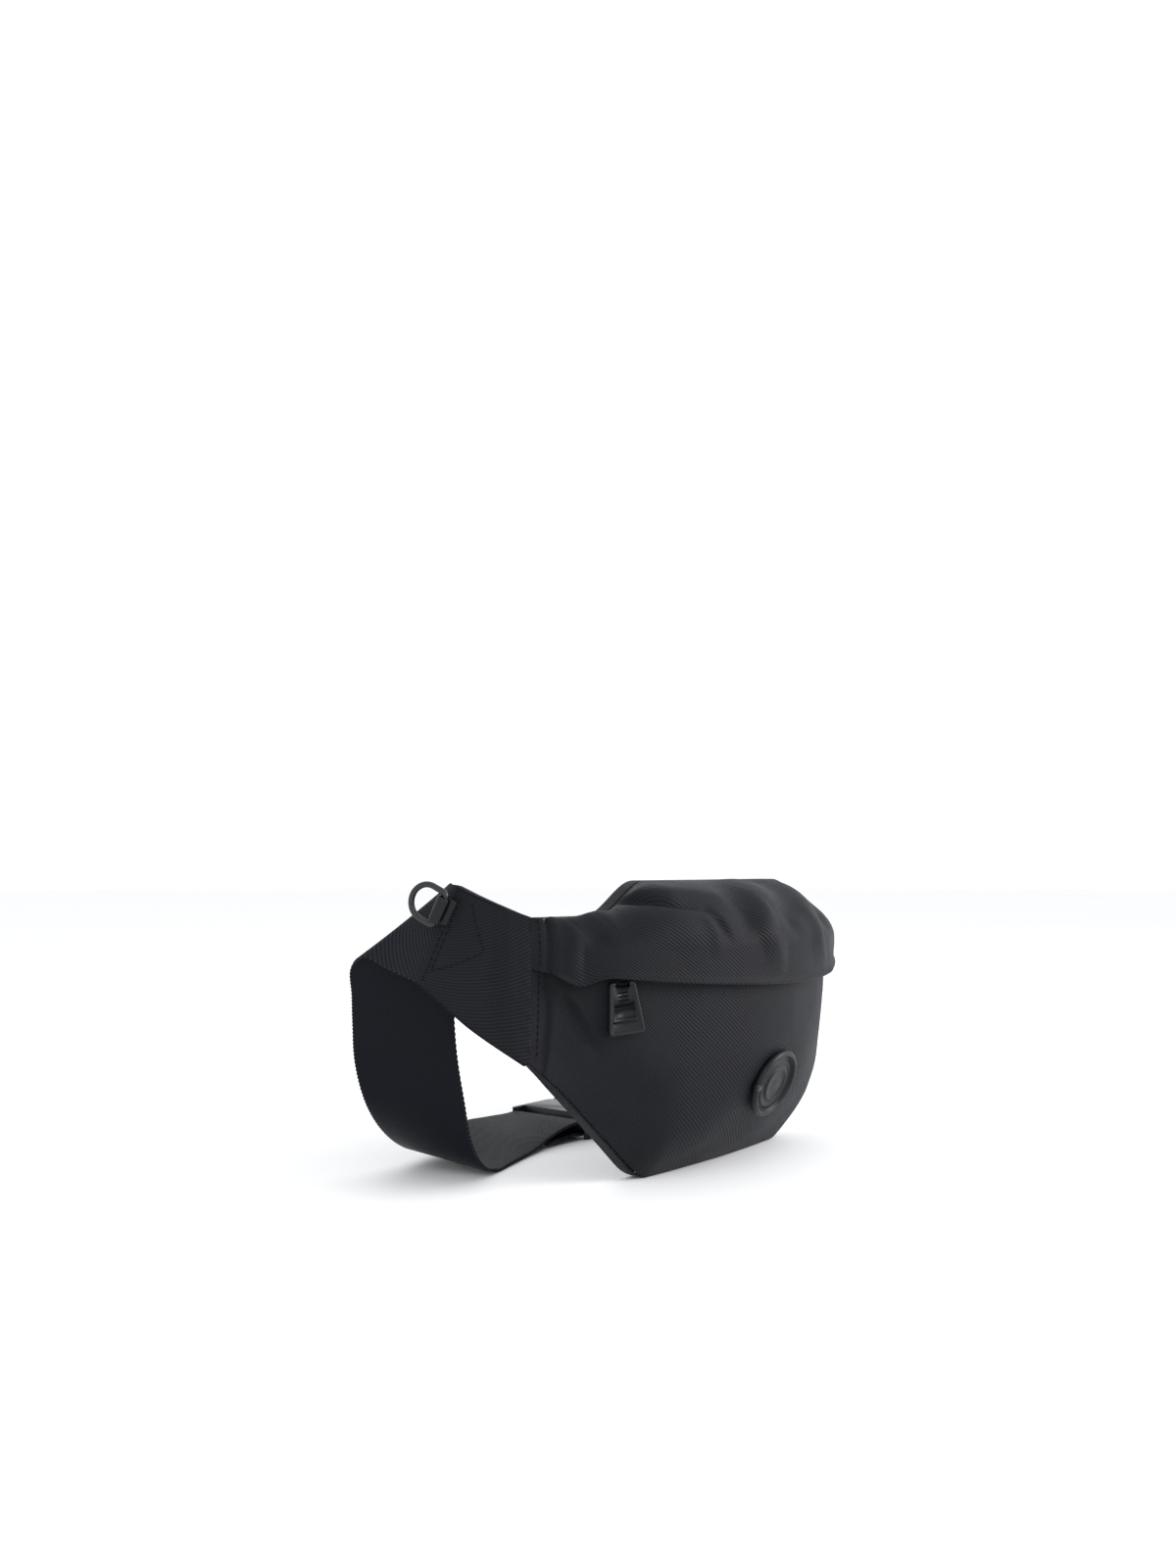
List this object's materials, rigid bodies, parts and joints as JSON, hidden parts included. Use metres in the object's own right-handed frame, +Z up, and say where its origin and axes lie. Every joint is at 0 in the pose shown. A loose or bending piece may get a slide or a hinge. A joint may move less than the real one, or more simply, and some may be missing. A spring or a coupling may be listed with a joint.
{
  "type": "waist pack",
  "caption": "Soft zipped waist pack with padded wings, a storm flap over the zip, a raised round badge and an adjustable webbing belt closed by a side-release buckle.",
  "frame": {"origin": "centre of the pack's footprint box, on the surface that it stands on", "axes": "+X along the pack's width, towards its adjustable side; -Y out of the pouch's front; +Z up"},
  "size_m": [0.3264, 0.1874, 0.1481],
  "materials": {
    "shell": "coated twill-weave nylon, charcoal black, matt with a faint blue sheen",
    "lining": "smooth grey lining cloth",
    "foam": "closed-cell foam padding",
    "mesh": "black spacer mesh, open hexagon weave",
    "binding": "black grosgrain binding tape with one row of stitching",
    "webbing": "black diagonal-twill nylon webbing",
    "zip": "black coil zip on woven tape",
    "zip_metal": "black lacquered zip slider",
    "ring_metal": "black satin coated steel wire",
    "rubber": "moulded matt black rubber",
    "buckle": "black satin moulded acetal"
  },
  "bodies": {
    "root": {"back_lining": "lining", "back_foam": "foam", "back_mesh": "mesh", "inner_pocket": "lining", "lower_binding": "binding", "upper_binding": "binding", "front_panel": "shell", "upper_panel": "shell", "zip_flap": "shell", "zip_teeth_lower": "zip", "zip_teeth_upper": "zip", "zip_tape_lower": "zip", "zip_tape_upper": "zip", "zip_stop_left": "zip_metal", "zip_stop_right": "zip_metal", "badge_rim": "rubber", "badge_face": "rubber", "wing_left_outer": "shell", "wing_left_foam": "foam", "wing_left_mesh": "mesh", "wing_right_outer": "shell", "wing_right_foam": "foam", "wing_right_mesh": "mesh", "strap_left": "webbing", "strap_right": "webbing", "d_ring_tab": "binding", "buckle_socket": "buckle"},
    "slider": {"zip_slider": "zip_metal", "pull_cord": "webbing"},
    "puller": {"zip_puller": "rubber"},
    "ring": {"d_ring": "ring_metal"},
    "insert": {"buckle_insert": "buckle"},
    "front_prong": {"prong_front": "buckle"},
    "rear_prong": {"prong_rear": "buckle"},
    "keeper": {"strap_keeper": "webbing"}
  },
  "joints": [
    {"name": "zip_slide", "type": "hinge", "parent": "root", "child": "slider", "pos_m": [0.00035, 0.092, 0.106], "axis": [0, 0, 1], "range_deg": [-1.5, 69]},
    {"name": "pull_swing", "type": "hinge", "parent": "slider", "child": "puller", "pos_m": [-0.10123, -0.05974, 0.0996], "axis": [-0.831, 0.5563, 0], "range_deg": [0, 90]},
    {"name": "d_ring_swing", "type": "hinge", "parent": "root", "child": "ring", "pos_m": [-0.15763, 0.00519, 0.13449], "axis": [0.1083, -0.4339, 0.8944], "range_deg": [-5, 150]},
    {"name": "buckle_release", "type": "slide", "parent": "root", "child": "insert", "axis": [1, 0, 0], "range_m": [0, 0.026], "deforming": ["prong_front", "prong_rear", "strap_right"]},
    {"name": "prong_front_flex", "type": "hinge", "parent": "insert", "child": "front_prong", "pos_m": [0.03145, 0.0467, 0.0062], "axis": [0, 0, -1], "range_deg": [0, 15], "stiffness_Nm_per_rad": 0.8, "deforming": ["prong_front"]},
    {"name": "prong_rear_flex", "type": "hinge", "parent": "insert", "child": "rear_prong", "pos_m": [0.03145, 0.0827, 0.0062], "axis": [0, 0, 1], "range_deg": [0, 15], "stiffness_Nm_per_rad": 0.8, "deforming": ["prong_rear"]},
    {"name": "keeper_slide", "type": "slide", "parent": "root", "child": "keeper", "axis": [0.9713, -0.2377, 0], "range_m": [-0.008, 0.008]}
  ],
  "couplings": [
    {"joint": "prong_rear_flex", "follows": "prong_front_flex", "ratio": 1}
  ]
}
